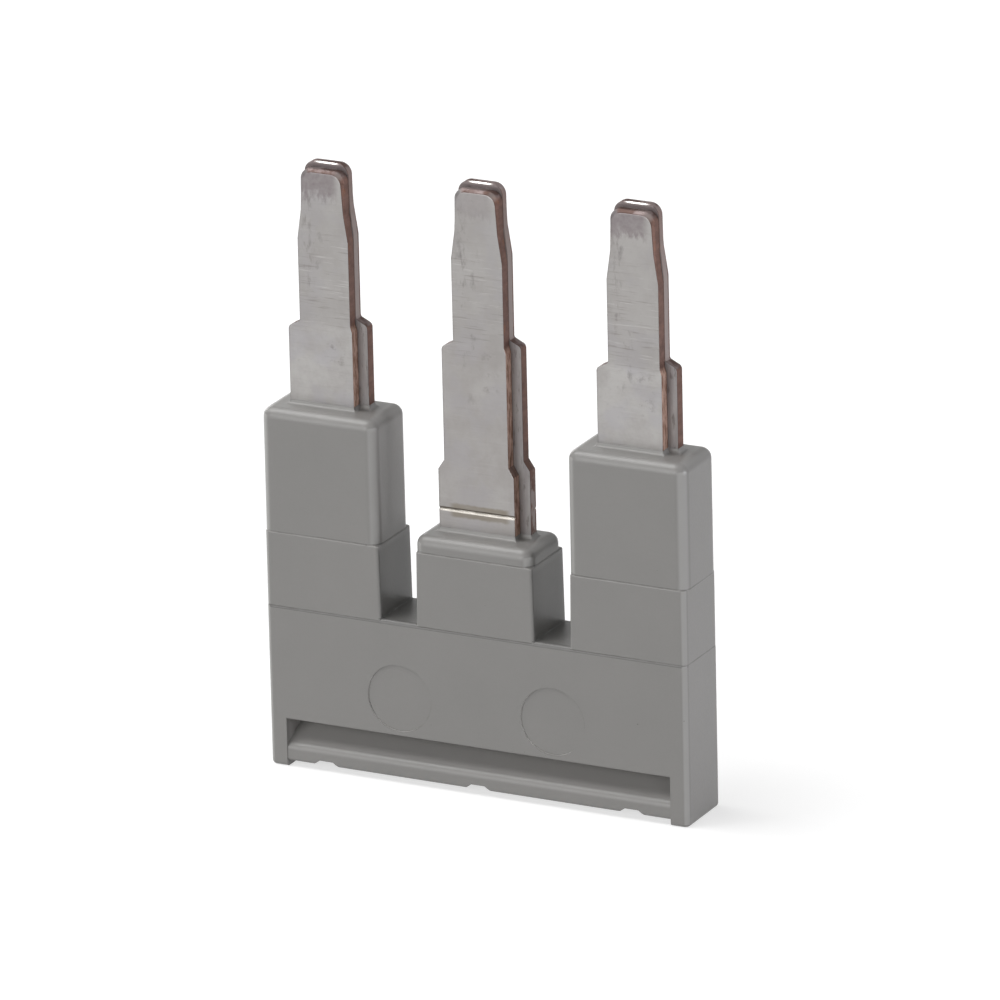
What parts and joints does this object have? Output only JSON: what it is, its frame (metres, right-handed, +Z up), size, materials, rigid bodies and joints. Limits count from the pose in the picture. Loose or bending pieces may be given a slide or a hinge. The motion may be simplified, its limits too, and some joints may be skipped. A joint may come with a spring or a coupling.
{
  "type": "terminal block jumper",
  "caption": "Insulated plug-in jumper for rail-mounted terminal blocks: a grey moulded handle bar with collars, holding paired tin-plated copper contact blades.",
  "frame": {"origin": "middle of the footprint, on the surface that the two feet stand on", "axes": "+Z up towards the tips of the blades, +X along the row of poles, -Y towards the front with the finger groove"},
  "size_m": [0.017, 0.0026, 0.0229],
  "materials": {
    "housing_plastic": "fine satin moulding, mid grey",
    "tinned_copper": "dull tin plating on copper, bare brown copper on the cut edges"
  },
  "bodies": {
    "root": {"insulating_housing": "housing_plastic", "front_contact_comb": "tinned_copper", "rear_contact_comb": "tinned_copper"}
  },
  "joints": []
}
